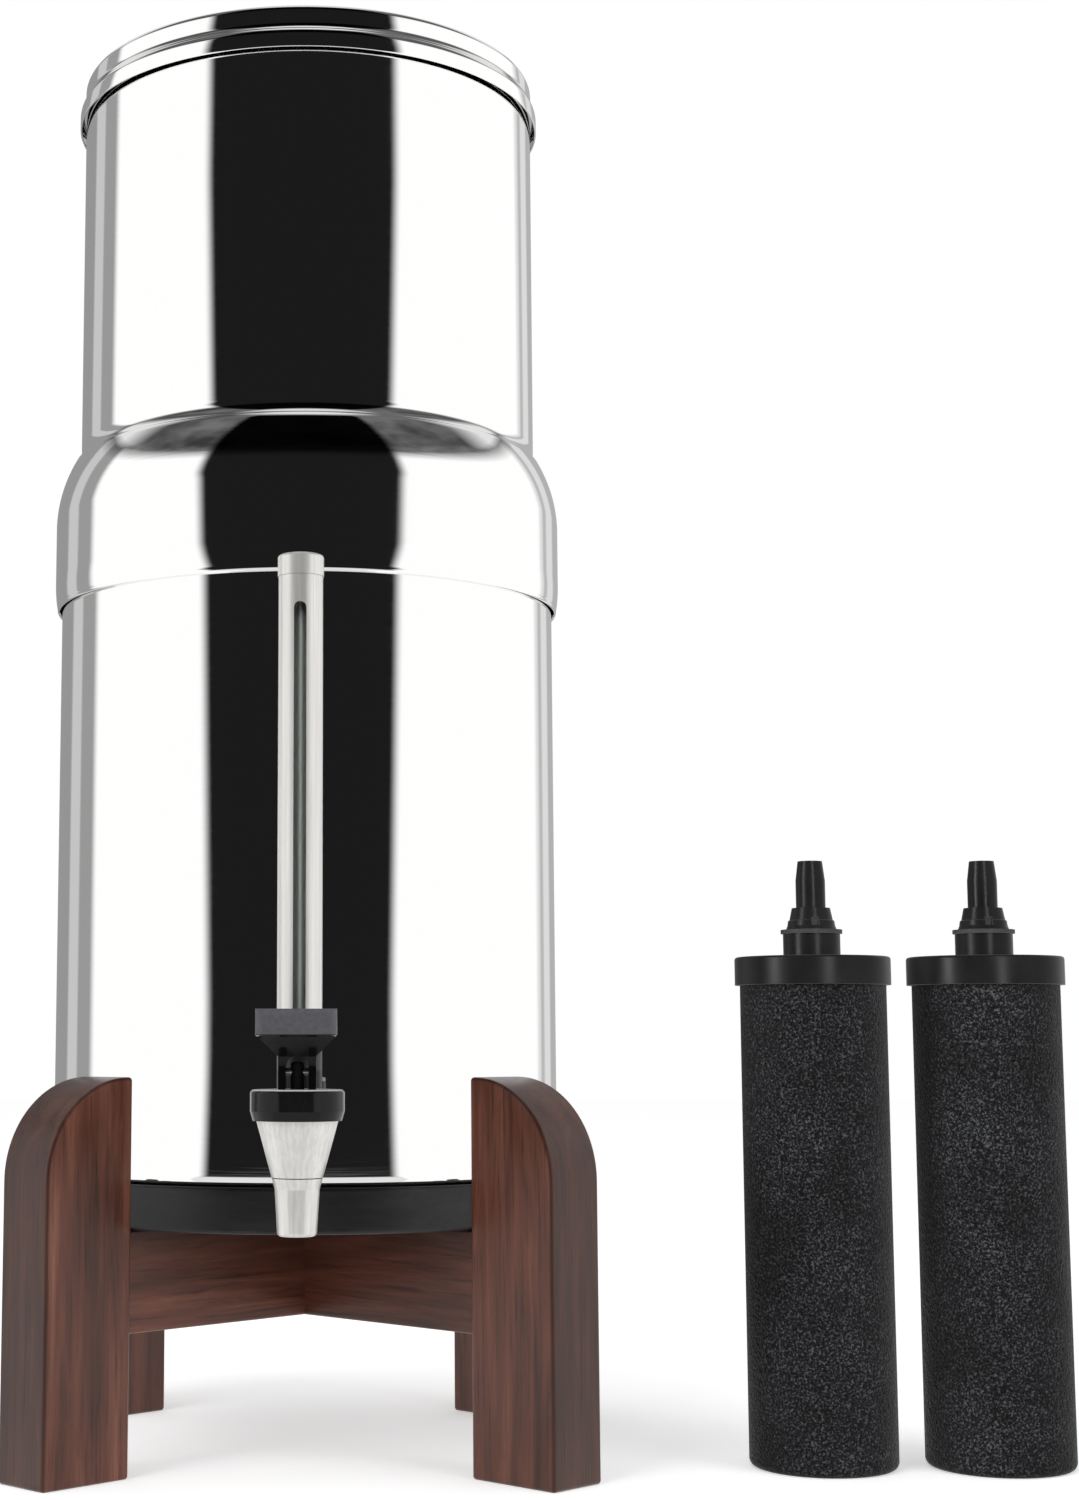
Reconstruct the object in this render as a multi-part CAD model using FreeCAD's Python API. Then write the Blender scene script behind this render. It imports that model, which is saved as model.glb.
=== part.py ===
import FreeCAD, Part
import math
import os
from FreeCAD import Vector

# Gravity water filter on a stand. Millimetres, Z up, the tap faces -Y.
# The origin lies on the chambers' axis, in the plane of the feet.

X, Y, Z = Vector(1, 0, 0), Vector(0, 1, 0), Vector(0, 0, 1)
ORIGIN = Vector(0, 0, 0)

# Sheet metal and clearances
sheet = 1.0                   # wall of both chambers
lid_sheet = 0.8
slip = 0.05                   # between pieces that are assembled and stay put
run = 0.06                    # radial clearance of shafts that turn or slide
apart = 0.5                   # between bodies that lift off each other

# Stand
chamber_radius = 108.0
leg_height = 155.0
leg_inner = chamber_radius + apart
leg_width = 42.0              # along the radius
leg_thick = 28.5
leg_round = 40.0              # quarter-round outer top corner
leg_edge = 1.5                # eased edges
board_top = 113.0
board_thick = 18.0
board_radius = chamber_radius + 0.3
beam_thick = 25.0
beam_bottom = 55.0
beam_top = board_top - board_thick
dowel_radius, dowel_length = 4.0, 40.0
dowel_levels = (beam_bottom + 10.0, beam_top - 10.0)
screw_offset = 60.0           # board screws, from the axis along each beam
screw_radius, screw_head = 2.2, 4.2

# Filter element, seen stem up: stem, nut, washer, hub, disc and body from top to bottom
body_radius, body_length = 29.6, 192.0
body_core = 9.0
core_floor = 14.0             # closed end of the body
disc_radius, disc_height = 31.6, 11.5
disc_lap = 8.0                # the body stands this deep in the disc
hub_radius, hub_height = 11.6, 9.6
washer_radius, washer_thick = 12.5, 1.6
nut_height = 8.9
nut_wide, nut_mid, nut_narrow = 10.3, 8.8, 7.8
nut_flange = 1.6
stem_radius, stem_tip_radius = 6.0, 5.0
thread_radius = 6.5           # the stem inside washer and nut
stem_free, stem_tip = 19.4, 8.0
stem_bore = 2.5
element_rise = washer_thick + hub_height + disc_height + body_length

# Skirt and floor of the upper chamber
upper_radius = chamber_radius - 7.4
skirt_radius = chamber_radius + 3.0
skirt_bottom = 355.5
skirt_top = skirt_bottom + 38.5
shoulder_rise, shoulder_in = 27.5, 7.8
waist_rise, waist_out = 7.5, 2.6
waist_top = skirt_top + shoulder_rise + waist_rise
floor_top = skirt_bottom + 3.0
floor_corner = 6.0
pan_top = waist_top - 1.0
hole_circle = upper_radius - 48.6   # circle of the four holes in the floor
hole_radius = thread_radius + 0.3
hole_angles = (45.0, 135.0, 225.0, 315.0)
element_angles, plug_angles = hole_angles[::2], hole_angles[1::2]

# Lower chamber
lower_top = skirt_top + 11.5  # rim, just under the shoulder
base_corner = 4.0
base_recess = 3.0             # raised centre of the bottom
base_ring = chamber_radius - 12.0   # outside radius of the raised centre
base_slope = 4.0
rim_bead = 1.6

# Upper rim and lid
head_space = 11.0             # from the fitted elements' tops to the upper rim
upper_top = floor_top + element_rise + head_space
upper_bead = 1.2
lid_rise = 13.3               # top of the lid above the upper rim
lid_top = upper_top + lid_rise
lid_wall = upper_radius + 0.3
lid_corner = 2.5
lid_step = upper_top + 0.1    # underside of the step that rests on the chamber
lid_lip = upper_radius + 2.7
lid_flare = 3.0               # height of the flare above and below the step
lid_lip_bottom = upper_top - 7.7
lid_dome = 1.5

# Lid knob
knob_radius, knob_height, knob_foot = 17.5, 26.0, 9.0
knob_socket = 16.0
knob_screw, knob_screw_grip = 2.5, 14.0
knob_head_radius, knob_head_height = 4.6, 2.8
knob_washer_radius, knob_washer_thick = 8.0, 1.0

# Blanking plugs
plug_radius, plug_head = 12.0, 4.5
plug_length = 16.0

# Spare elements, standing on the floor to the right
spare_depth = -58.0
spare_places = (209.4, 280.4)

# Tap
tap_y = -chamber_radius - 42.0
shank_z = 128.0
shank_radius, shank_bore = 7.9, 4.5
shank_end = -chamber_radius + 16.0
spout_bottom, spout_neck, cone_top = 98.0, 115.0, 140.0
spout_radius, neck_radius, cone_radius = 7.4, 8.3, 15.2
outlet_radius, outlet_top = 5.2, 116.0
seat_radius = 4.6
seat_z = 119.0
well_radius = 9.5
collar_radius, collar_top = 13.5, 148.0
bonnet_radius, bonnet_low_radius = 17.6, 16.6
bonnet_top = 151.4
bonnet_roof = 2.9
stem_pin_z = 158.0
valve_radius = 2.5
valve_top = 161.5
piston_radius, piston_thick = 6.5, 2.0
cup_radius, cup_height = 6.2, 8.0
cup_lip = 1.5                 # the part of the cup that stands proud of the outlet
spring_radius, spring_wire = 5.0, 0.5
spring_turns = 5

# Lever
ear_half, ear_gap = 7.0, 4.2
ear_depth = 6.5
heel_z = bonnet_top + 0.1
arch_z = 163.0
paddle_half = 14.8
paddle_low, paddle_high = 171.3, 180.8
paddle_front = -26.0
pin_radius = 1.4

# Sight glass
glass_y = -chamber_radius - 13.0
guard_radius, guard_wall = 8.75, 1.0
guard_bottom = 158.0
guard_top = skirt_bottom - 5.5
slot_width, slot_low = 4.9, 166.0
slot_high = guard_top - 11.0
cap_radius, cap_height, cap_plug = 9.1, 8.7, 4.0
tube_radius, tube_wall = 4.0, 1.0
tube_bottom, tube_top = 146.0, guard_top - 6.0
seal_radius, seal_height = 6.3, 4.0
tee_radius, tee_post = 11.0, 8.75
tee_front, tee_back = glass_y - 11.0, -chamber_radius - 3.6
wall_washer_radius = 11.0
nut_face = -chamber_radius + 10.0   # inner lock nut's face towards the axis
lock_nut_flat, lock_nut_thick = 11.0, 5.0


def path(points):
    """Closed wire in the XZ plane. A point of four numbers is an arc: its middle, then its end."""
    edges = []
    start = points[0]
    for p in list(points[1:]) + [start]:
        a = Vector(start[-2], 0, start[-1])
        b = Vector(p[-2], 0, p[-1])
        if a.distanceToPoint(b) < 1e-6:
            start = p
            continue
        if len(p) == 4:
            edges.append(Part.Arc(a, Vector(p[0], 0, p[1]), b).toShape())
        else:
            edges.append(Part.makeLine(a, b))
        start = p
    return Part.Wire(edges)


def turned(points, at=ORIGIN):
    """Solid of revolution about Z from a closed (radius, height) outline."""
    solid = Part.Face(path(points)).revolve(ORIGIN, Z, 360)
    solid.translate(at)
    return solid


def tube(outer, inner, low, high, at=ORIGIN):
    return turned([(inner, low), (outer, low), (outer, high), (inner, high)], at)


def rod(radius, low, high, at=ORIGIN):
    solid = Part.makeCylinder(radius, high - low, Vector(at.x, at.y, low))
    return solid


def rod_y(radius, y_low, y_high, z, x=0.0):
    return Part.makeCylinder(radius, y_high - y_low, Vector(x, y_low, z), Y)


def block(x0, y0, z0, x1, y1, z1):
    return Part.makeBox(x1 - x0, y1 - y0, z1 - z0, Vector(x0, y0, z0))


def around(shape, degrees):
    copy = shape.copy()
    copy.rotate(ORIGIN, Z, degrees)
    return copy


def crown(radius, edge, top):
    """Middle and end of an arc from (radius, edge) to the axis, on a ball centred on the axis."""
    sag = top - edge
    ball = (radius ** 2 + sag ** 2) / (2 * sag)
    half = math.asin(radius / ball) / 2
    return ball * math.sin(half), top - ball * (1 - math.cos(half)), 0, top


def leg():
    """One leg along +X, to be turned into its place."""
    outer = leg_inner + leg_width
    low = leg_height - leg_round
    mid = leg_round * math.sqrt(0.5)
    centre = outer - leg_round
    side = path([(leg_inner, 0), (outer, 0), (outer, low),
                 (centre + mid, low + mid, centre, leg_height), (leg_inner, leg_height)])
    body = Part.Face(side).extrude(Vector(0, leg_thick, 0))
    body.translate(Vector(0, -leg_thick / 2, 0))
    body = body.makeFillet(leg_edge, body.Edges)
    for z in dowel_levels:
        body = body.cut(leg_dowel(z, slip))
    return body


def leg_dowel(z, grow=0.0):
    """Dowel through the joint between leg and beam, along +X."""
    half = dowel_length / 2
    return Part.makeCylinder(dowel_radius + grow, dowel_length + 2 * grow,
                             Vector(leg_inner - half - grow, 0, z), X)


def board_screw(turn, side, grow=0.0):
    """Countersunk screw from under the beam into the board, on one side of the axis."""
    tip = beam_top + board_thick * 0.7
    low = beam_bottom + 12.0
    shank = turned([(0, low), (screw_head + grow, low), (screw_radius + grow, low + 3.0),
                    (screw_radius + grow, tip - 3.0), (0.0, tip)])
    shank.translate(Vector(side * screw_offset, 0, 0))
    return around(shank, turn)


def beam(turn, notch_low, notch_high):
    """Beam from leg to leg with a half-lap notch at its middle."""
    half = leg_inner - slip
    wood = block(-half, -beam_thick / 2, beam_bottom, half, beam_thick / 2, beam_top - slip)
    wood = wood.makeFillet(1.0, [e for e in wood.Edges if abs(e.tangentAt(0).x) > 0.9])
    lap = beam_thick / 2 + slip
    wood = wood.cut(block(-lap, -beam_thick, notch_low, lap, beam_thick, notch_high))
    for flip in (0, 180):
        for z in dowel_levels:
            wood = wood.cut(around(leg_dowel(z, slip), flip))
    wood = around(wood, turn)
    for side in (-1, 1):
        place = around(Part.makeCylinder(screw_head + slip, 13.0,
                                         Vector(side * screw_offset, 0, beam_bottom - 1.0)), turn)
        wood = wood.cut(place)
        wood = wood.cut(board_screw(turn, side, slip))
    return wood


def stand():
    parts = {}
    one = leg()
    names = {45: "stand_leg_back_right", 135: "stand_leg_back_left",
             225: "stand_leg_front_left", 315: "stand_leg_front_right"}
    for angle, name in names.items():
        parts[name] = around(one, angle)
    middle = (beam_bottom + beam_top) / 2
    parts["stand_beam_lower"] = beam(45, middle - slip, beam_top + 1)
    parts["stand_beam_upper"] = beam(135, beam_bottom - 1, middle)
    edge = 1.5
    low = beam_top
    disc = rod(board_radius, low, board_top)
    disc = disc.makeFillet(edge, [e for e in disc.Edges if e.Curve.TypeId == "Part::GeomCircle"])
    screws = [board_screw(turn, side) for turn in (45, 135) for side in (-1, 1)]
    for turn in (45, 135):
        for side in (-1, 1):
            disc = disc.cut(board_screw(turn, side, slip))
    parts["stand_board"] = disc
    parts["stand_board_screws"] = Part.makeCompound(screws)
    parts["stand_dowels"] = Part.makeCompound(
        [around(leg_dowel(z), a) for a in names for z in dowel_levels])
    return parts


def lower_chamber():
    """Wall with a bead rolled inwards at the rim and a bottom with a raised centre."""
    r, t, c = chamber_radius, sheet, base_corner
    z0, k = board_top, math.sqrt(0.5)
    ring = base_ring
    bead_z = lower_top - rim_bead
    wall = turned([
        (0, z0 + base_recess), (ring - base_slope, z0 + base_recess), (ring, z0), (r - c, z0),
        (r - c + c * k, z0 + c - c * k, r, z0 + c), (r, bead_z), (r - t, bead_z), (r - t, z0 + c),
        (r - c + (c - t) * k, z0 + c - (c - t) * k, r - c, z0 + t),
        (ring + 0.4, z0 + t), (ring - base_slope + 0.4, z0 + base_recess + t), (0, z0 + base_recess + t)])
    bead = Part.makeTorus(r - rim_bead, rim_bead, Vector(0, 0, bead_z))
    wall = wall.fuse(bead)
    hole = rod_y(shank_radius + 0.15, -r - 5, -r + 8, shank_z)
    return wall.cut(hole).removeSplitter()


def upper_chamber():
    """Wall, waist, shoulder and skirt in one sheet, with an outward bead at the rim."""
    r, t, s = upper_radius, sheet, skirt_radius
    sr, sz = r + waist_out, skirt_top + shoulder_rise
    low, rim = skirt_bottom, upper_top - upper_bead
    mid_r, mid_z = s - shoulder_in / 3, skirt_top + shoulder_rise * 0.567
    shell = turned([
        (r, rim), (r, waist_top), (r + waist_out * 0.2, waist_top - waist_rise * 0.59, sr, sz),
        (mid_r, mid_z, s, skirt_top), (s, low + 4.0),
        (s - 0.45, low + 1.4, s - 1.7, low), (s - 2.2, low + 0.9),
        (s - t - 0.3, low + 2.0, s - t, low + 4.0), (s - t, skirt_top),
        (mid_r - 0.9, mid_z - 0.5, sr - 0.6, sz - 1.0),
        (r - 0.3, waist_top - waist_rise * 0.64, r - t, waist_top), (r - t, rim)])
    bead = Part.makeTorus(r + 0.2, upper_bead, Vector(0, 0, rim))
    return shell.fuse(bead).removeSplitter()


def upper_floor():
    """Pan that hangs from the waist down to the floor with four holes."""
    r = upper_radius - sheet - slip
    t, c, k = sheet, floor_corner, math.sqrt(0.5)
    z0 = floor_top - t
    pan = turned([
        (0, z0), (r - c, z0), (r - c + c * k, z0 + c - c * k, r, z0 + c), (r, pan_top),
        (r - t, pan_top), (r - t, z0 + c),
        (r - c + (c - t) * k, z0 + c - (c - t) * k, r - c, floor_top), (0, floor_top)])
    for angle in hole_angles:
        pan = pan.cut(around(rod(hole_radius, z0 - 1, floor_top + 1,
                                 Vector(hole_circle, 0, 0)), angle))
    return pan


def lid():
    t, w, c, k = lid_sheet, lid_wall, lid_corner, math.sqrt(0.5)
    top, edge = lid_top, lid_top - lid_dome
    step, f = lid_step, lid_flare
    outline = [
        (knob_screw + 0.3, top), (w * 0.5, top - lid_dome * 0.26, w - c, edge),
        (w - c + c * k, edge - c + c * k, w, edge - c), (w, step + t + f),
        (w + 0.25, step + t + f * 0.44, w + 1.0, step + t),
        (lid_lip - 0.45, step - 0.4, lid_lip, step + t - f),
        (lid_lip, lid_lip_bottom + 0.4),
        (lid_lip - t / 2, lid_lip_bottom, lid_lip - t, lid_lip_bottom + 0.4),
        (lid_lip - t, step - 0.9), (lid_lip - 2 * t, step), (w - t, step),
        (w - t, edge - c), (w - c + (c - t) * k, edge - c + (c - t) * k, w - c, edge - t),
        (w * 0.5, top - t - lid_dome * 0.26, knob_screw + 0.3, top - t)]
    return turned(outline)


def knob():
    """Turned knob: a foot, a slender neck and a domed head, with a screw hole from below."""
    z0 = lid_top + slip
    h, r, f = knob_height, knob_radius, knob_foot
    s = knob_screw
    return turned([
        (s + 0.1, z0), (f, z0), (f + 0.4, z0 + 1.5, f - 0.6, z0 + 3), (f - 2.2, z0 + 7.5, f - 0.5, z0 + 12),
        (r - 2, z0 + 15), (r, z0 + 18.0, r - 1.6, z0 + 21.6), crown(r - 1.6, z0 + 21.6, z0 + h),
        (0, z0 + knob_socket), (s + 0.1, z0 + knob_socket)])


def knob_fasteners():
    under = lid_top - lid_sheet - slip
    washer = tube(knob_washer_radius, knob_screw + 0.1, under - knob_washer_thick, under)
    top = under - knob_washer_thick - slip
    low = top - knob_head_height
    screw = rod(knob_screw, top, lid_top + knob_screw_grip)
    head = rod(knob_head_radius, low, top)
    head = head.makeChamfer(0.8, [e for e in head.Edges if abs(e.BoundBox.ZMax - low) < 1e-6])
    cross = block(-3.0, -0.5, low - 1, 3.0, 0.5, low + 1.4)
    head = head.cut(cross).cut(around(cross, 90))
    return screw.fuse(head).removeSplitter(), washer


def element():
    """Body, base and washer of one filter element, stem up, the washer's upper face at z = 0."""
    low = -washer_thick
    hub_low = low - hub_height
    disc_low = hub_low - disc_height
    body_top = disc_low + disc_lap
    body_low = disc_low - body_length
    e, k = 3.0, math.sqrt(0.5)
    carbon = turned([
        (0, body_low), (body_radius - e, body_low),
        (body_radius - e + e * k, body_low + e - e * k, body_radius, body_low + e),
        (body_radius, body_top), (body_core, body_top), (body_core, body_low + core_floor),
        (0, body_low + core_floor)])
    d, b = disc_radius, 1.2
    thread, free = thread_radius, nut_height + 0.3
    top = nut_height + stem_free
    base = turned([
        (stem_bore, body_top + slip), (body_radius + slip, body_top + slip),
        (body_radius + slip, disc_low), (d, disc_low), (d, hub_low - b),
        (d - b + b * k, hub_low - b + b * k, d - b, hub_low), (hub_radius, hub_low),
        (hub_radius, low - slip), (thread, low - slip), (thread, free - 0.5), (stem_radius, free),
        (stem_radius, top - stem_tip), (stem_tip_radius, top), (stem_bore, top)])
    washer = tube(washer_radius, thread_radius + slip, low, 0)
    return carbon, base, washer


def lock_nut(z):
    """Round nut, widest at z and narrower away from it, with one notch at its wide end."""
    w, m, n, h = nut_wide, nut_mid, nut_narrow, nut_height
    inner = thread_radius + slip
    nut = turned([(inner, z), (w, z), (w - 0.6, z + nut_flange), (m + 0.6, z + nut_flange + 2.0),
                  (m, z + nut_flange + 2.4), (n, z + h), (inner, z + h)])
    notch = block(-1.6, -w - 1, z + nut_flange, 1.6, -n + 0.4, z + h * 0.55)
    return nut.cut(notch)


def flipped(shape):
    """Turned upside down about the X axis."""
    copy = shape.copy()
    copy.rotate(ORIGIN, X, 180)
    return copy


def moved(shape, x, y, z):
    copy = shape.copy()
    copy.translate(Vector(x, y, z))
    return copy


def elements():
    parts = {}
    carbon, base, washer = element()
    for number, x in enumerate(spare_places, 1):
        name = "spare_element_%d_" % number
        for label, shape in (("body", carbon), ("base", base), ("washer", washer),
                             ("nut", lock_nut(slip))):
            parts[name + label] = moved(shape, x, spare_depth, element_rise)
    under = floor_top - sheet - slip
    for number, angle in enumerate(element_angles, 1):
        name = "fitted_element_%d_" % number
        x = hole_circle * math.cos(math.radians(angle))
        y = hole_circle * math.sin(math.radians(angle))
        for label, shape in (("body", carbon), ("base", base), ("washer", washer)):
            parts[name + label] = moved(flipped(shape), x, y, floor_top + slip)
        parts[name + "nut"] = moved(flipped(lock_nut(0)), x, y, under)
    plugs, nuts = [], []
    for angle in plug_angles:
        x = hole_circle * math.cos(math.radians(angle))
        y = hole_circle * math.sin(math.radians(angle))
        top = floor_top + slip
        tip, head = top - plug_length, top + plug_head
        plug = turned([(0, tip), (thread_radius - 0.6, tip), (thread_radius, tip + 0.8),
                       (thread_radius, top), (plug_radius, top), (plug_radius, head - 1.5),
                       (plug_radius - 1.5, head), (0, head)])
        plugs.append(moved(plug, x, y, 0))
        nuts.append(moved(flipped(lock_nut(0)), x, y, under))
    parts["blanking_plugs"] = Part.makeCompound(plugs)
    parts["blanking_plug_nuts"] = Part.makeCompound(nuts)
    return parts


def tap_body():
    at = Vector(0, tap_y, 0)
    e, k = 1.5, math.sqrt(0.5)
    s = spout_bottom
    cone = turned([
        (0, s), (spout_radius - e, s), (spout_radius - e + e * k, s + e - e * k, spout_radius, s + e),
        (neck_radius, spout_neck), (cone_radius, cone_top - slip), (collar_radius, cone_top - slip),
        (collar_radius, collar_top), (0, collar_top)], at)
    shank = rod_y(shank_radius, tap_y, shank_end, shank_z)
    shoulder = rod_y(shank_radius + 2.6, tap_y + 8, tee_front - slip, shank_z)
    solid = cone.fuse([shank, shoulder])
    well = rod(well_radius, seat_z, collar_top + 1, at)
    outlet = rod(outlet_radius, s - 1, outlet_top, at).fuse(rod(seat_radius, s, seat_z + 1, at))
    supply = rod_y(shank_bore, tap_y, shank_end + 1, shank_z)
    return solid.cut(well).cut(outlet).cut(supply).removeSplitter()


def bonnet():
    at = Vector(0, tap_y, 0)
    top, low, r = bonnet_top, cone_top, bonnet_radius
    e, k = 1.4, math.sqrt(0.5)
    inner = collar_radius + slip
    roof = top - bonnet_roof
    return turned([
        (inner, low), (bonnet_low_radius, low), (r, low + 3.5), (r, top - e),
        (r - e + e * k, top - e + e * k, r - e, top), (valve_radius + run, top),
        (valve_radius + run, roof), (inner, roof)], at)


def valve_stem():
    """Rod with a piston that carries the spring, a spigot for the cup and a hole for the pin."""
    at = Vector(0, tap_y, 0)
    piston = seat_z + cup_height
    rod_shape = turned([
        (0, seat_z + 3.0), (1.6, seat_z + 3.0), (1.6, piston), (piston_radius, piston),
        (piston_radius, piston + piston_thick), (valve_radius, piston + piston_thick),
        (valve_radius, valve_top - 0.6), (valve_radius - 0.6, valve_top), (0, valve_top)], at)
    hole = Part.makeCylinder(pin_radius + run, 20, Vector(-10, tap_y, stem_pin_z), X)
    return rod_shape.cut(hole)


def seat_cup():
    at = Vector(0, tap_y, 0)
    low = seat_z + slip
    plug = seat_radius - 0.3
    return turned([
        (0, low - cup_lip), (plug - 1, low - cup_lip), (plug, low), (cup_radius, low),
        (cup_radius, low + cup_height - 1.2), (cup_radius - 1.0, low + cup_height - 2 * slip),
        (1.6 + slip, low + cup_height - 2 * slip), (1.6 + slip, seat_z + 3.0 - slip),
        (0, seat_z + 3.0 - slip)], at)


def spring():
    """Coil between the stem's piston and the bonnet's roof."""
    low = seat_z + cup_height + piston_thick + spring_wire + slip
    high = bonnet_top - bonnet_roof - spring_wire - slip
    helix = Part.makeHelix((high - low) / spring_turns, high - low, spring_radius)
    start = Vector(spring_radius, 0, 0)
    wire = Part.Wire(Part.makeCircle(spring_wire, start, Y))
    coil = Part.Wire(helix.Edges).makePipeShell([wire], True, True)
    return moved(Part.Solid(coil), 0, tap_y, low)


def lever():
    """Side outline and front outline crossed, with a slot between the ears and a pin hole."""
    side = [(ear_depth, heel_z), (ear_depth, 160.5), (3.6, 166.5), (-17.0, paddle_high - 0.6),
            (-20.0, paddle_high), (paddle_front + 1.5, paddle_high), (paddle_front, paddle_high - 1.5),
            (paddle_front, paddle_low + 1.0), (paddle_front + 1.2, paddle_low), (-19.0, paddle_low - 0.6),
            (-ear_depth - 1.5, 163.5), (-ear_depth, 160.0), (-ear_depth, heel_z)]
    front = [(-ear_half, heel_z - 1), (ear_half, heel_z - 1), (ear_half, arch_z + 0.6),
             (paddle_half, paddle_low), (paddle_half, paddle_high + 1), (-paddle_half, paddle_high + 1),
             (-paddle_half, paddle_low), (-ear_half, arch_z + 0.6)]
    wide = 2 * paddle_half + 2
    wire = Part.makePolygon([Vector(-wide / 2, y, z) for y, z in side + side[:1]])
    a = Part.Face(wire).extrude(Vector(wide, 0, 0))
    wire = Part.makePolygon([Vector(x, -40, z) for x, z in front + front[:1]])
    b = Part.Face(wire).extrude(Vector(0, 60, 0))
    solid = a.common(b)
    plan = block(-paddle_half, paddle_front, heel_z - 1, paddle_half, 20, paddle_high + 1)
    plan = plan.makeFillet(3.0, [e for e in plan.Edges
                                 if abs(e.tangentAt(0).z) > 0.9 and e.BoundBox.YMax < 0])
    solid = solid.common(plan)
    slot = block(-ear_gap, -12, heel_z - 1, ear_gap, 12, arch_z - ear_gap + 1)
    arch = rod_y(ear_gap, -12, 12, arch_z - ear_gap + 1)
    solid = solid.cut(slot).cut(arch)
    hole = Part.makeCylinder(pin_radius + slip, 30, Vector(-15, 0, stem_pin_z), X)
    return moved(solid.cut(hole).removeSplitter(), 0, tap_y, 0)


def sight_glass():
    at = Vector(0, glass_y, 0)
    parts = {}
    guard = tube(guard_radius, guard_radius - guard_wall, guard_bottom + slip, guard_top, at)
    half = slot_width / 2
    cut = block(-half, glass_y - 12, slot_low, half, glass_y, slot_high - half)
    cut = cut.fuse(rod_y(half, glass_y - 12, glass_y, slot_high - half))
    parts["sight_glass_guard"] = guard.cut(cut)
    inner = guard_radius - guard_wall - slip
    low, top = guard_top + slip, guard_top + cap_height
    cap = turned([
        (0.8, low), (0.8, top), (cap_radius - 1.2, top),
        (cap_radius - 0.3, top - 0.5, cap_radius, top - 1.5), (cap_radius, low),
        (inner, low), (inner, low - cap_plug), (inner - 1.5, low - cap_plug), (inner - 1.5, low)], at)
    parts["sight_glass_cap"] = cap
    parts["sight_glass_tube"] = tube(tube_radius, tube_radius - tube_wall, tube_bottom, tube_top, at)
    post = rod(tee_post, shank_z, guard_bottom, at)
    barrel = rod_y(tee_radius, tee_front, tee_back, shank_z)
    tee = barrel.fuse(post)
    tee = tee.cut(rod_y(shank_radius + slip, tee_front - 1, tee_back + 1, shank_z))
    tee = tee.cut(rod(tube_radius + slip, tube_bottom - slip, guard_bottom + 1, at))
    tee = tee.cut(rod(tube_radius - tube_wall, shank_z, tube_bottom + 1, at))
    seal_low = guard_bottom - seal_height
    tee = tee.cut(rod(seal_radius, seal_low, guard_bottom + 1, at))
    parts["sight_glass_tee"] = tee.removeSplitter()
    parts["sight_glass_seal"] = tube(seal_radius - slip, tube_radius + slip, seal_low + slip,
                                     guard_bottom, at)
    return parts


def shank_fittings():
    """Rubber washers shaped to the round wall, and the lock nut inside."""
    parts = {}
    wall = rod(chamber_radius + slip, shank_z - 40, shank_z + 40)
    inside = rod(chamber_radius - sheet - slip, shank_z - 40, shank_z + 40)
    hole = rod_y(shank_radius + slip, tap_y, 0, shank_z)
    outer = rod_y(wall_washer_radius, tee_back + slip, -chamber_radius + 6, shank_z)
    parts["shank_outer_washer"] = outer.cut(wall).cut(hole)
    inner = rod_y(wall_washer_radius, -chamber_radius, nut_face - lock_nut_thick - slip, shank_z)
    parts["shank_inner_washer"] = inner.common(inside).cut(hole)
    corner = lock_nut_flat / math.cos(math.pi / 6)
    angles = [math.radians(60 * i + 30) for i in range(7)]
    points = [Vector(corner * math.cos(a), nut_face - lock_nut_thick, shank_z + corner * math.sin(a))
              for a in angles]
    nut = Part.Face(Part.makePolygon(points)).extrude(Vector(0, lock_nut_thick, 0))
    parts["shank_lock_nut"] = nut.cut(hole)
    return parts


def all_parts():
    parts = {}
    parts.update(stand())
    parts["lower_chamber"] = lower_chamber()
    parts["upper_chamber"] = upper_chamber()
    parts["upper_chamber_floor"] = upper_floor()
    parts["lid"] = lid()
    parts["lid_knob"] = knob()
    parts["lid_knob_screw"], parts["lid_knob_washer"] = knob_fasteners()
    parts.update(elements())
    parts["tap_body"] = tap_body()
    parts["tap_bonnet"] = bonnet()
    parts["tap_valve_stem"] = valve_stem()
    parts["tap_seat_cup"] = seat_cup()
    parts["tap_spring"] = spring()
    parts["tap_lever"] = lever()
    parts["tap_lever_pin"] = Part.makeCylinder(pin_radius, 2 * ear_half - 0.4,
                                               Vector(-ear_half + 0.2, tap_y, stem_pin_z), X)
    parts.update(sight_glass())
    parts.update(shank_fittings())
    return parts


os.makedirs("parts", exist_ok=True)
for name, shape in all_parts().items():
    if not shape.isValid():
        print("not valid:", name)
    box = shape.BoundBox
    print("%-26s %2d solids  z %.1f to %.1f" % (name, len(shape.Solids), box.ZMin, box.ZMax))
    shape.exportStep("parts/%s.step" % name)
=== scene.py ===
import math

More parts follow.
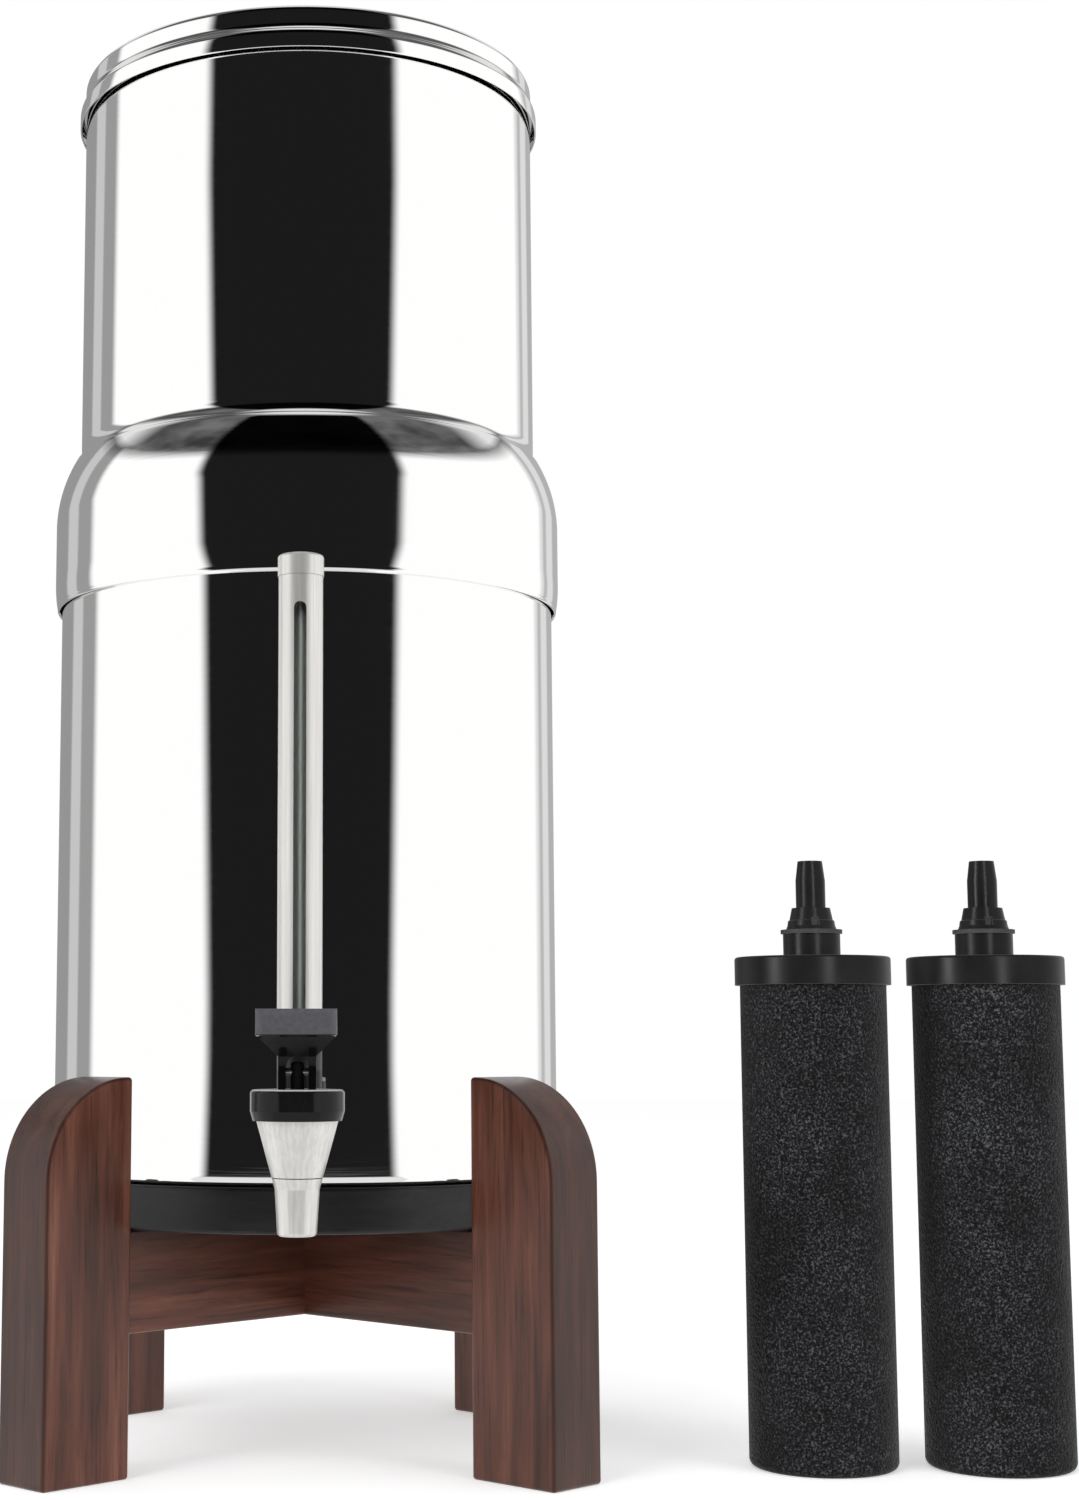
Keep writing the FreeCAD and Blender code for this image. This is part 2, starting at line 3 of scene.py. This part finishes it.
import bmesh
import bpy
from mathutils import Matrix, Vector


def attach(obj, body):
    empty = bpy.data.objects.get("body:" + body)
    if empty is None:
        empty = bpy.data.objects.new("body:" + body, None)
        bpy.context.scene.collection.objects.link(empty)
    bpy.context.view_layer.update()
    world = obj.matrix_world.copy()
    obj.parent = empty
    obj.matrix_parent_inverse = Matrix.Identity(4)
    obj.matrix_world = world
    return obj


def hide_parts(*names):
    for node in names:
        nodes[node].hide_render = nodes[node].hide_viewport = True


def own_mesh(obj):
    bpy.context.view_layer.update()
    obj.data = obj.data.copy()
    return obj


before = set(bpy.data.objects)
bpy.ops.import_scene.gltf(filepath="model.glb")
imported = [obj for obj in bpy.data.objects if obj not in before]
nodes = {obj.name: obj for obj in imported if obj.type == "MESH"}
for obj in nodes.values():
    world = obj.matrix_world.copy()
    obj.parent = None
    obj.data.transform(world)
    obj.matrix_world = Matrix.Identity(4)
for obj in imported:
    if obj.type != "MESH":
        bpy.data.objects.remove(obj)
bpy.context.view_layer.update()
K = math.sqrt(0.5)              # sine and cosine of half a right angle, for the middle of a corner's arc
GUARD_SHADE_TOP = 0.1722            # metres: below it the guard is painted black as shade, above it steel
LEVER_SHEEN_FROM = 0.1716             # the lever's lighter band, a painted sheen, starts here
BONNET_HIGHLIGHT_FROM = 0.1511             # the bonnet's pale top face, a painted highlight, starts here
EDGE = 0.0004                   # how soft the line between two tones is


# Materials

class Nodes:
    """Short way to build a node tree: every call adds a node and wires its inputs."""

    def __init__(self, name, world=False):
        self.owner = (bpy.data.worlds if world else bpy.data.materials).new(name)
        self.owner.use_nodes = True
        self.tree = self.owner.node_tree
        self.tree.nodes.clear()
        self.out = self.tree.nodes.new("ShaderNodeOutput" + ("World" if world else "Material"))

    def add(self, kind, inputs=None, **props):
        node = self.tree.nodes.new("ShaderNode" + kind)
        for key, value in props.items():
            setattr(node, key, value)
        for key, value in (inputs or {}).items():
            if isinstance(value, bpy.types.NodeSocket):
                self.tree.links.new(value, node.inputs[key])
            else:
                node.inputs[key].default_value = value
        return node

    def place(self, scale=(1, 1, 1), turn=0.0):
        coords = self.add("TexCoord").outputs["Object"]
        turned = self.add("Mapping", {"Vector": coords, "Rotation": (0, 0, turn)}).outputs[0]
        return self.add("Mapping", {"Vector": turned, "Scale": scale}).outputs[0]

    def split(self, turn=0.0):
        """The place on the piece as three numbers."""
        return self.add("SeparateXYZ", {0: self.place((1, 1, 1), turn)}).outputs

    def noise(self, at, scale, detail=4.0, rough=0.55, distort=0.0):
        return self.add("TexNoise", {"Vector": at, "Scale": scale, "Detail": detail,
                                     "Roughness": rough, "Distortion": distort}).outputs[0]

    def math(self, operation, first, second, **props):
        return self.add("Math", {0: first, 1: second}, operation=operation, **props).outputs[0]

    def ramp(self, value, *stops):
        node = self.add("ValToRGB", {"Fac": value})
        parts = node.color_ramp.elements
        while len(parts) < len(stops):
            parts.new(0.5)
        for part, (where, colour) in zip(parts, stops):
            part.position = where
            part.color = (*colour, 1)
        return node.outputs[0]

    def span(self, value, low, high, start=0.0, end=1.0, **props):
        return self.add("MapRange", {"Value": value, "From Min": start, "From Max": end,
                                     "To Min": low, "To Max": high}, **props).outputs[0]

    def tint(self, colour, shade):
        """A colour times a shade, which is a colour or a number."""
        return self.add("Mix", {0: 1.0, 6: colour, 7: shade}, data_type="RGBA",
                        blend_type="MULTIPLY").outputs[2]

    def either(self, share, first, second):
        """The first colour where the share is 0, the second where it is 1."""
        return self.add("Mix", {0: share, 6: first, 7: second}, data_type="RGBA").outputs[2]

    def bump(self, height, strength, distance, before=None):
        inputs = {"Height": height, "Strength": strength, "Distance": distance}
        if before is not None:
            inputs["Normal"] = before
        return self.add("Bump", inputs).outputs[0]

    def rays(self, *kinds):
        """1 for the kinds of ray that Light Path names, 0 for the others."""
        path = self.add("LightPath").outputs
        seen = path[kinds[0]]
        for kind in kinds[1:]:
            seen = self.math("ADD", seen, path[kind], use_clamp=True)
        return seen

    def end(self, shader):
        self.tree.links.new(shader.outputs[0], self.out.inputs[0])
        return self.owner

    def surface(self, **inputs):
        named = {key.replace("_", " "): value for key, value in inputs.items()}
        return self.end(self.add("BsdfPrincipled", named))


def polished_steel():
    n = Nodes("polished_steel")
    rings = n.noise(n.place((1, 1, 60)), 14, 3)
    smudge = n.noise(n.place(), 9, 3)
    rough = n.math("ADD", n.span(rings, 0.015, 0.05, 0.3, 0.7), n.span(smudge, 0.0, 0.03, 0.4, 0.8))
    return n.surface(Base_Color=(0.94, 0.94, 0.935, 1), Metallic=1.0, Roughness=rough,
                     Normal=n.bump(rings, 0.02, 0.0004))


def brushed_steel(name, lengthwise):
    """Satin steel. Lengthwise, it is the guard's, with its lower end behind the lever painted black as shade.
    """
    n = Nodes(name)
    grain = n.noise(n.place((1, 1, 0.02 if lengthwise else 0.05)), 700, 4, 0.6)
    soft = n.noise(n.place(), 60, 3)
    colour = n.ramp(grain, (0.3, (0.66, 0.65, 0.62)), (0.7, (0.86, 0.85, 0.82)))
    rough = n.math("ADD", n.span(grain, 0.26, 0.38, 0.3, 0.7), n.span(soft, 0.0, 0.06))
    metal = 0.55
    if lengthwise:
        # painted shade: the guard is black below this height
        steel_part = n.span(n.split()[2], 0.0, 1.0, GUARD_SHADE_TOP, GUARD_SHADE_TOP + EDGE)
        colour = n.either(steel_part, (0.010, 0.010, 0.011, 1), colour)
        metal = n.span(steel_part, 0.0, 0.62)
    return n.surface(Base_Color=colour, Metallic=metal, Roughness=rough, Normal=n.bump(grain, 0.06, 0.0002))


def plain_steel():
    n = Nodes("plain_steel")
    fine = n.noise(n.place(), 400, 4)
    return n.surface(Base_Color=n.ramp(fine, (0.3, (0.42, 0.42, 0.42)), (0.7, (0.6, 0.6, 0.59))),
                     Metallic=1.0, Roughness=n.span(fine, 0.22, 0.38), Normal=n.bump(fine, 0.1, 0.0003))


def black_plastic(name, rough_low, rough_high, tone=0.010, shine=0.3):
    n = Nodes(name)
    fine = n.noise(n.place(), 700, 3)
    broad = n.noise(n.place(), 45, 3)
    colour = n.ramp(broad, (0.3, (tone, tone, tone * 1.05)), (0.75, (tone * 1.7, tone * 1.7, tone * 1.8)))
    return n.surface(Base_Color=colour, Roughness=n.span(broad, rough_low, rough_high, 0.3, 0.7),
                     Normal=n.bump(fine, 0.05, 0.0002), Specular_IOR_Level=shine)


def painted_light_plastic(name, level, low, high, rough):
    """Glossy black below a height, a satin finish above it whose lighter tone is painted light: a painted
    sheen on the lever's band, a painted highlight on the bonnet's top.
    """
    n = Nodes(name)
    above = n.span(n.split()[2], 0.0, 1.0, level - EDGE / 2, level + EDGE / 2)
    fine = n.noise(n.place(), 500, 4)
    tone = n.span(fine, 0.85, 1.15, 0.3, 0.7)
    return n.surface(Base_Color=n.tint(n.either(above, (*low, 1), (*high, 1)), tone),
                     Roughness=n.span(above, 0.10, rough), Normal=n.bump(fine, 0.04, 0.0002),
                     Specular_IOR_Level=n.span(above, 0.2, 0.45))


def rubber():
    n = Nodes("black_rubber")
    fine = n.noise(n.place(), 900, 3)
    return n.surface(Base_Color=n.ramp(fine, (0.3, (0.012, 0.012, 0.012)), (0.7, (0.03, 0.03, 0.03))),
                     Roughness=n.span(fine, 0.6, 0.8), Normal=n.bump(fine, 0.2, 0.0003))


def glass():
    n = Nodes("clear_glass")
    streak = n.noise(n.place((1, 1, 0.05)), 200, 2)
    return n.surface(Base_Color=(0.93, 0.96, 0.95, 1), Transmission_Weight=1.0, IOR=1.47,
                     Roughness=n.span(streak, 0.0, 0.03))


def carbon():
    n = Nodes("filter_carbon")
    at = n.place()
    grains = n.add("TexVoronoi", {"Vector": at, "Scale": 820.0, "Randomness": 1.0}).outputs["Distance"]
    large = n.add("TexVoronoi", {"Vector": at, "Scale": 420.0, "Randomness": 1.0}).outputs["Distance"]
    flecks = n.noise(at, 1050, 5, 0.7)
    patch = n.noise(at, 35, 4)
    tone = n.ramp(flecks, (0.42, (0.001, 0.001, 0.0012)), (0.52, (0.006, 0.006, 0.007)),
                  (0.63, (0.065, 0.067, 0.072)))
    shade = n.ramp(patch, (0.35, (0.55, 0.55, 0.55)), (0.65, (1.1, 1.1, 1.1)))
    relief = n.bump(grains, 0.9, 0.0005, n.bump(large, 0.6, 0.0006))
    return n.surface(Base_Color=n.tint(tone, shade), Roughness=n.span(flecks, 0.35, 0.75, 0.35, 0.65),
                     Normal=relief, Specular_IOR_Level=0.10)


def wood(name, turn, along, tones, rough, bump=0.25, rim=None, top=None):
    """Grain along one axis of the turned coordinates: 0 is X, 2 is Z. Painted shade darkens the rim, and a
    painted shadow darkens the top.
    """
    n = Nodes(name)
    fine, broad, ring = [1.0, 1.0, 1.0], [1.0, 1.0, 1.0], [1.0, 1.0, 1.0]
    fine[along], broad[along], ring[along] = 0.035, 0.09, 0.16
    pores = n.noise(n.place(fine, turn), 620, 5, 0.65)
    streaks = n.noise(n.place(broad, turn), 110, 5, 0.6, 0.6)
    figure = n.noise(n.place(ring, turn), 34, 3, 0.5, 1.4)
    mixed = n.add("Mix", {0: 0.40, 2: streaks, 3: figure}).outputs[0]
    colour = n.ramp(mixed, (0.34, tones[0]), (0.5, tones[1]), (0.66, tones[2]))
    colour = n.tint(colour, n.ramp(pores, (0.30, (0.45, 0.42, 0.42)), (0.46, (1, 1, 1))))
    x, _, z = n.split(turn)
    if rim:
        radius, centre, height = rim
        out = n.math("SUBTRACT", x, centre)
        up = n.math("MAXIMUM", n.math("SUBTRACT", z, height), 0.0)
        squares = n.math("ADD", n.math("POWER", out, 2.0), n.math("POWER", up, 2.0))
        away = n.math("POWER", squares, 0.5)
        # painted shade: darker towards the leg's rounded outer corner
        colour = n.tint(colour, n.span(away, 1.0, 0.42, radius - 0.0016, radius - 0.0006))
    if top:
        # painted shadow: darker towards the top, where the board shades the beams
        colour = n.tint(colour, n.span(z, 1.0, 0.30, top - 0.016, top))
    return n.surface(Base_Color=colour, Roughness=n.span(streaks, rough - 0.05, rough + 0.08, 0.3, 0.7),
                     Normal=n.bump(pores, bump, 0.0004), Coat_Weight=0.15, Coat_Roughness=0.3,
                     Specular_IOR_Level=0.35)


WALNUT = ((0.050, 0.016, 0.009), (0.130, 0.043, 0.026), (0.250, 0.096, 0.060))
LEG_RIM_SHADE = (0.040, 0.1105, 0.115)     # quarter-round corner that painted shade darkens: its radius, centre and height
EBONY = ((0.003, 0.003, 0.003), (0.008, 0.007, 0.007), (0.020, 0.017, 0.017))
BEECH = ((0.30, 0.17, 0.08), (0.42, 0.26, 0.13), (0.52, 0.34, 0.19))

steel = polished_steel()
brushed_long = brushed_steel("brushed_lengthwise", True)
brushed_round = brushed_steel("brushed_round", False)
hardware = plain_steel()
gloss_black = black_plastic("gloss_black", 0.10, 0.18)
# The lever's lighter band above its level is a painted sheen on a satin finish.
lever_black_painted_sheen = painted_light_plastic("lever_black_painted_sheen", LEVER_SHEEN_FROM, (0.004,) * 3, (0.085, 0.085, 0.096), 0.5)
# The bonnet's pale top face is a painted highlight on black plastic.
bonnet_black_painted_highlight = painted_light_plastic("bonnet_black_painted_highlight", BONNET_HIGHLIGHT_FROM, (0.008,) * 3, (0.80,) * 3, 0.3)
satin_black = black_plastic("satin_black", 0.22, 0.34, 0.008, 0.2)
moulded_black = black_plastic("moulded_black", 0.24, 0.34, 0.006, 0.10)
rubber_black = rubber()
tube_glass = glass()
block_carbon = carbon()
leg_wood = {
    "stand_leg_back_right": wood("walnut_leg_1", math.radians(-45), 2, WALNUT, 0.34, rim=LEG_RIM_SHADE),
    "stand_leg_back_left": wood("walnut_leg_2", math.radians(-135), 2, WALNUT, 0.34, rim=LEG_RIM_SHADE),
    "stand_leg_front_left": wood("walnut_leg_3", math.radians(-225), 2, WALNUT, 0.34, rim=LEG_RIM_SHADE),
    "stand_leg_front_right": wood("walnut_leg_4", math.radians(-315), 2, WALNUT, 0.34, rim=LEG_RIM_SHADE),
    # The beams' top=0.095 is where their painted shadow under the board is darkest.
    "stand_beam_lower": wood("walnut_beam_1", math.radians(-45), 0, WALNUT, 0.36, top=0.095),
    "stand_beam_upper": wood("walnut_beam_2", math.radians(-135), 0, WALNUT, 0.36, top=0.095),
    "stand_board": wood("black_board", 0.0, 0, EBONY, 0.45, 0.15),
    "stand_dowels": wood("beech_dowels", 0.0, 0, BEECH, 0.6),
}


def finish_of(name):
    if name in leg_wood:
        return leg_wood[name]
    if name in ("lower_chamber", "upper_chamber", "upper_chamber_floor", "lid"):
        return steel
    if name in ("sight_glass_guard", "sight_glass_cap"):
        return brushed_long
    if name == "tap_body":
        return brushed_round
    if name == "sight_glass_tube":
        return tube_glass
    if name in ("stand_board_screws", "lid_knob_screw", "lid_knob_washer", "tap_lever_pin", "tap_spring",
                "shank_lock_nut"):
        return hardware
    if name.endswith("_body"):
        return block_carbon
    if "washer" in name or "seal" in name or "cup" in name:
        return rubber_black
    if name == "tap_lever":
        return lever_black_painted_sheen
    if name == "tap_bonnet":
        return bonnet_black_painted_highlight
    if name == "lid_knob":
        return gloss_black
    if name in ("tap_valve_stem", "sight_glass_tee"):
        return satin_black
    return moulded_black


for name, obj in nodes.items():
    obj.data.materials.clear()
    obj.data.materials.append(finish_of(name))


# Turned sheet-metal pieces, finer than the frame's own facets, in millimetres

def outline(points, steps=10):
    """Points along a closed outline. A point of four numbers is an arc: its middle, then its end."""
    line = [Vector(points[0])]
    for p in points[1:]:
        if len(p) == 2:
            line.append(Vector(p))
            continue
        a, m, b = line[-1], Vector(p[:2]), Vector(p[2:])
        d = 2 * (a.x * (m.y - b.y) + m.x * (b.y - a.y) + b.x * (a.y - m.y))
        sa, sm, sb = a.length_squared, m.length_squared, b.length_squared
        centre = Vector(((sa * (m.y - b.y) + sm * (b.y - a.y) + sb * (a.y - m.y)) / d,
                         (sa * (b.x - m.x) + sm * (a.x - b.x) + sb * (m.x - a.x)) / d))
        first = math.atan2(a.y - centre.y, a.x - centre.x)
        sweep = math.atan2(b.y - centre.y, b.x - centre.x) - first
        middle = math.atan2(m.y - centre.y, m.x - centre.x) - first
        sweep, middle = sweep % (2 * math.pi), middle % (2 * math.pi)
        if middle > sweep:
            sweep -= 2 * math.pi
        radius = (a - centre).length
        for i in range(1, steps + 1):
            t = first + sweep * i / steps
            line.append(centre + radius * Vector((math.cos(t), math.sin(t))))
    return line


def lathe(name, points, material, body, steps=10, segments=288, closed=True):
    """Turned piece round the Z axis, from an outline in millimetres, that rides on a body if one is named."""
    bm = bmesh.new()
    verts = [bm.verts.new((r / 1000, 0, z / 1000)) for r, z in outline(points, steps)]
    pairs = zip(verts, verts[1:] + verts[:1]) if closed else zip(verts, verts[1:])
    edges = [bm.edges.new(pair) for pair in pairs]
    bmesh.ops.spin(bm, geom=verts + edges, cent=(0, 0, 0), axis=(0, 0, 1), angle=2 * math.pi,
                   steps=segments, use_merge=True, use_duplicate=False)
    bmesh.ops.remove_doubles(bm, verts=bm.verts, dist=1e-7)
    bmesh.ops.recalc_face_normals(bm, faces=bm.faces)
    mesh = bpy.data.meshes.new(name)
    bm.to_mesh(mesh)
    bm.free()
    mesh.shade_smooth()
    mesh.set_sharp_from_angle(angle=math.radians(40))
    mesh.materials.append(material)
    obj = bpy.data.objects.new(name, mesh)
    bpy.context.collection.objects.link(obj)
    if body:
        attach(obj, body)
    return obj


def torus_points(radius, height, tube):
    """Outline of a rolled rim."""
    return [(radius + tube * math.cos(math.radians(a)), height + tube * math.sin(math.radians(a)))
            for a in range(0, 360, 20)]


SHEET, UPPER, SKIRT, LOWER = 1.0, 100.6, 111.0, 108.0    # wall thickness, then outer radii
SKIRT_LOW, SKIRT_TOP, BOARD = 355.5, 394.0, 113.0        # heights above the floor
LOW_RIM, TOP_RIM = 405.5, 584.2
LOW_BEAD, TOP_BEAD = 1.6, 1.2                            # radii of the rolled rims
FOOT_CORNER, RECESS, RECESS_RISE = 4.0, 12.0, 3.0        # bottom of the lower chamber
SHOULDER, SHOULDER_IN, WAIST = 27.5, 2.6, 7.5            # rise and draw-in of the shoulder, then the waist
HEM = 13.0                                               # height over which the skirt's bottom curves in
LID_WALL, LID_LIP, LID_TOP, LID_SHEET, LID_FLARE = 100.9, 103.3, 597.5, 0.8, 3.0
LID_CORNER, LID_CROWN, LID_DROP = 2.5, 1.5, 7.7          # corner radius, rise of the top, lip below the rim


def lower_chamber():
    t, r, s, c = SHEET, LOWER, BOARD, FOOT_CORNER
    ring, rise, bead = LOWER - RECESS, RECESS_RISE, LOW_BEAD
    wall = lathe("lower_chamber_wall", [
        (0.001, s + rise), (ring - 4, s + rise), (ring, s), (r - c, s),
        (r - c + c * K, s + c - c * K, r, s + c), (r, LOW_RIM - bead), (r - t, LOW_RIM - bead),
        (r - t, s + c), (r - c + (c - t) * K, s + c - (c - t) * K, r - c, s + t),
        (ring + 0.4, s + t), (ring - 3.6, s + rise + t), (0.001, s + rise + t)],
        steel, "lower_vessel", closed=False)
    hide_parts("lower_chamber")
    lathe("lower_chamber_bead", torus_points(r - bead, LOW_RIM - bead, bead), steel, "lower_vessel")


def upper_chamber():
    t, r, s, low, rim = SHEET, UPPER, SKIRT, SKIRT_LOW, TOP_RIM - TOP_BEAD
    sr, sz = r + SHOULDER_IN, SKIRT_TOP + SHOULDER
    mr, mz = s - SHOULDER_IN, SKIRT_TOP + SHOULDER * 0.567
    waist = sz + WAIST
    wall = lathe("upper_chamber_wall", [
        (r, rim), (r, waist), (r + 0.52, waist - 4.4, sr, sz), (mr, mz, s, SKIRT_TOP), (s, low + HEM),
        (s - 0.25, low + HEM / 2, s - 0.9, low + 1.6), (s - 1.15, low + 0.5, s - 1.7, low),
        (s - 2.2, low + 0.6), (s - 2.0, low + 2.2), (s - t - 0.3, low + 7, s - t, low + HEM),
        (s - t, SKIRT_TOP), (mr - 0.9, mz - 0.5, sr - 0.6, sz - 1), (r - 0.3, waist - 4.8, r - t, waist),
        (r - t, rim)], steel, "upper_vessel", 16)
    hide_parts("upper_chamber")
    lathe("upper_chamber_bead", torus_points(r + 0.2, rim, TOP_BEAD), steel, "upper_vessel")


def lid():
    t, w, c, f = LID_SHEET, LID_WALL, LID_CORNER, LID_FLARE
    top, edge, step, low = LID_TOP, LID_TOP - LID_CROWN, TOP_RIM + 0.1, TOP_RIM - LID_DROP
    wall = lathe("lid_shell", [
        (2.8, top), (w * 0.5, top - 0.39, w - c, edge), (w - c + c * K, edge - c + c * K, w, edge - c),
        (w, step + t + f), (w + 0.25, step + t + f * 0.44, w + 1.0, step + t),
        (LID_LIP - 0.45, step - 0.4, LID_LIP, step + t - f), (LID_LIP, low + 0.4),
        (LID_LIP - 0.4, low, LID_LIP - 0.8, low + 0.4), (LID_LIP - t, step - 0.9),
        (LID_LIP - 2 * t, step), (w - t, step), (w - t, edge - c),
        (w - c + (c - t) * K, edge - c + (c - t) * K, w - c, edge - t),
        (w * 0.5, top - t - 0.39, 2.8, top - t)],
        steel, "lid_assembly", 8)
    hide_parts("lid")


def tap_spring():
    """A copy of the spring under the bonnet, riding on the lower vessel; the real one shortens as the stem
    lifts, this copy keeps its shape.
    """
    mesh = nodes["tap_spring"].data.copy()
    mesh.name = "tap_spring_coil"
    bm = bmesh.new()
    bm.from_mesh(mesh)
    bmesh.ops.remove_doubles(bm, verts=bm.verts, dist=1e-7)
    bm.to_mesh(mesh)
    bm.free()
    coil = bpy.data.objects.new("tap_spring_coil", mesh)
    bpy.context.collection.objects.link(coil)
    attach(coil, "lower_vessel")
    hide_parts("tap_spring")
    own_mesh(coil)


lower_chamber()
upper_chamber()
lid()
tap_spring()


# Stage

ROOM, ROOM_TOP = 2.4, 3.2        # radius and height of the reflected room, in metres
FRONT = (-42.5, 39.0, 0.011, 4.0)   # dark panel the steel mirrors: from, to (degrees), tone, soft edge
PANELS = (                       # grey panels behind the object, in the same form
    (-124.0, -111.0, 0.33, 3.5),
    (-190.0, -110.0, 0.58, 3.0),
    (-190.0, -135.0, 0.31, 5.0),
    (131.0, 190.0, 0.74, 3.5),
    (134.0, 139.0, 0.50, 3.0),
    (149.0, 190.0, 0.45, 5.0),
)
WHITE_WALL = 1.06
OVERHEAD = 0.8                   # brightness of the soft panels straight above and high up behind
CEILING = ((0.0, 1.0), (0.585, 1.0), (0.70, 0.13), (0.80, 0.075), (1.0, 0.085))   # share of height, tone
FLOOR_SIZE, FLOOR_GLOW = 6.0, 0.42
VESSEL, ELEMENTS = (0, 0, 0.3), (0.245, -0.058, 0.12)   # where the lamps aim, in metres


def wall_tone(n, at):
    """White all round, with each panel between its two angles."""
    angle = n.math("ARCTAN2", at[0], n.math("MULTIPLY", at[1], -1.0))
    angle = n.math("MULTIPLY", angle, 180 / math.pi)
    leaning = n.math("MULTIPLY", angle, n.span(at[2], 1.03, 0.90, 0.1, 1.3))
    tone = None
    for turn, (start, end, level, soft) in [(leaning, FRONT)] + [(angle, panel) for panel in PANELS]:
        rise = n.span(turn, 0.0, 1.0, start - soft, start + soft / 2, interpolation_type="SMOOTHSTEP")
        fall = n.span(turn, 1.0, 0.0, end - soft / 2, end + soft, interpolation_type="SMOOTHSTEP")
        shade = n.span(n.math("MULTIPLY", rise, fall), WHITE_WALL, level)
        tone = shade if tone is None else n.math("MINIMUM", tone, shade)
    return tone


def studio():
    """Room that only reflections see. Its ceiling is dark and cloudy in front, bright overhead and behind."""
    n = Nodes("studio_walls")
    at = n.split()
    height = n.math("DIVIDE", at[2], ROOM_TOP)
    high = n.span(height, 0.0, 1.0, 0.66, 0.74)
    cloud = n.span(n.noise(n.place((1, 1, 1.6)), 1.1, 2), 0.55, 1.9, 0.3, 0.7)
    patchy = n.add("Mix", {0: high, 2: 1.0, 3: cloud}).outputs[0]
    above = n.ramp(height, *((where, (level,) * 3) for where, level in CEILING))
    light = n.math("MULTIPLY", n.math("MULTIPLY", wall_tone(n, at), above), patchy)
    from_middle = n.add("VectorMath", {0: n.place((1, 1, 0))}, operation="LENGTH").outputs["Value"]
    overhead = n.span(from_middle, OVERHEAD, 0.0, 0.5, 1.0)
    behind = n.math("MULTIPLY", n.span(at[1], 0.0, OVERHEAD, 0.2, 1.2), high)
    light = n.math("MAXIMUM", n.math("MAXIMUM", light, overhead), behind)
    walls = n.end(n.add("Emission", {"Strength": light}))

    reach, slope = ROOM * 1e3, ROOM_TOP * 1e3     # the lathe takes millimetres
    room = lathe("studio_walls", [(20, 0.3), (reach, 0.3), (reach, slope * 0.8), (reach * 0.8, slope),
                                  (20, slope)], walls, None, segments=96, closed=False)
    room.visible_camera = room.visible_diffuse = room.visible_shadow = room.visible_transmission = False


def backdrop():
    """White to the camera, mirrors and glass, a plain grey light to the object."""
    n = Nodes("studio", world=True)
    light = n.add("Background", {0: (0.62, 0.62, 0.62, 1)}).outputs[0]
    shown = n.add("Background", {0: (1, 1, 1, 1)}).outputs[0]
    seen = n.rays("Is Camera Ray", "Is Glossy Ray", "Is Transmission Ray")
    bpy.context.scene.world = n.end(n.add("MixShader", {0: seen, 1: light, 2: shown}))


def floor():
    """Pale floor that keeps the object's shadow and is lifted to white where the camera sees it."""
    n = Nodes("floor")
    matte = n.add("BsdfDiffuse", {0: (0.9, 0.9, 0.9, 1)}).outputs[0]
    lifted = n.add("AddShader", {0: matte, 1: n.add("Emission", {1: FLOOR_GLOW}).outputs[0]}).outputs[0]
    seen = n.rays("Is Camera Ray", "Is Glossy Ray")
    pale = n.end(n.add("MixShader", {0: seen, 1: matte, 2: lifted}))

    bm = bmesh.new()
    bmesh.ops.create_grid(bm, x_segments=1, y_segments=1, size=FLOOR_SIZE)
    mesh = bpy.data.meshes.new("floor")
    bm.to_mesh(mesh)
    bm.free()
    mesh.materials.append(pale)
    plane = bpy.data.objects.new("floor", mesh)
    bpy.context.collection.objects.link(plane)


def lamp(name, place, aim, size, power):
    data = bpy.data.lights.new(name, "AREA")
    data.shape = "RECTANGLE"
    data.size, data.size_y = size
    data.energy = power
    obj = bpy.data.objects.new(name, data)
    bpy.context.collection.objects.link(obj)
    obj.location = place
    obj.rotation_euler = (Vector(aim) - Vector(place)).to_track_quat("-Z", "Y").to_euler()
    obj.visible_glossy = False
    obj.visible_camera = False
    return obj


def element_lamps():
    """Two lamps that light the spare elements alone."""
    spares = bpy.data.collections.new("spare_elements")
    for name, obj in nodes.items():
        if name.startswith("spare_element"):
            spares.objects.link(obj)
    for label, place, size, power in (("strip", (0.50, -1.3, 0.35), (0.10, 1.2), 12.0),
                                      ("side", (-1.1, -0.6, 0.5), (0.3, 0.8), 14.0)):
        light = lamp("element_" + label, place, ELEMENTS, size, power)
        light.visible_glossy = True
        light.light_linking.receiver_collection = spares


backdrop()
floor()
studio()
for name, obj in nodes.items():
    if name.startswith(("spare_element", "stand_leg")):
        obj.visible_glossy = False       # the photograph's steel mirrors neither
element_lamps()
lamp("key", (-1.3, -1.6, 1.9), VESSEL, (1.2, 1.2), 22)
lamp("fill", (1.5, -1.4, 1.2), VESSEL, (1.2, 1.2), 12)

# Camera: the photograph's own view, low and tilted up a little

SIDE, BACK, LEVEL, TILT = 0.022, 1.0278, 0.1685, 7.112   # metres from the axis and the floor; degrees up
FOCAL, FRAME = 2347.4, 1500.0          # focal length and frame height, in the photograph's pixels
MIDDLE, AXIS = 539.5, 307.0            # columns of the frame's middle and of the chambers' axis
REACH = 1.035                          # metres from the camera to the axis, along the view

camera = bpy.data.cameras.new("camera")
camera.sensor_fit = "AUTO"
camera.sensor_width = 36.0
camera.lens = FOCAL * camera.sensor_width / FRAME
camera.shift_x = (MIDDLE - AXIS - FOCAL * SIDE / REACH) / FRAME
camera.clip_start = 0.01
eye = bpy.data.objects.new("camera", camera)
bpy.context.collection.objects.link(eye)
eye.location = (SIDE, -BACK, LEVEL)
eye.rotation_euler = (math.radians(90 + TILT), 0, 0)
bpy.context.scene.camera = eye
bpy.context.scene.view_settings.view_transform = "Standard"
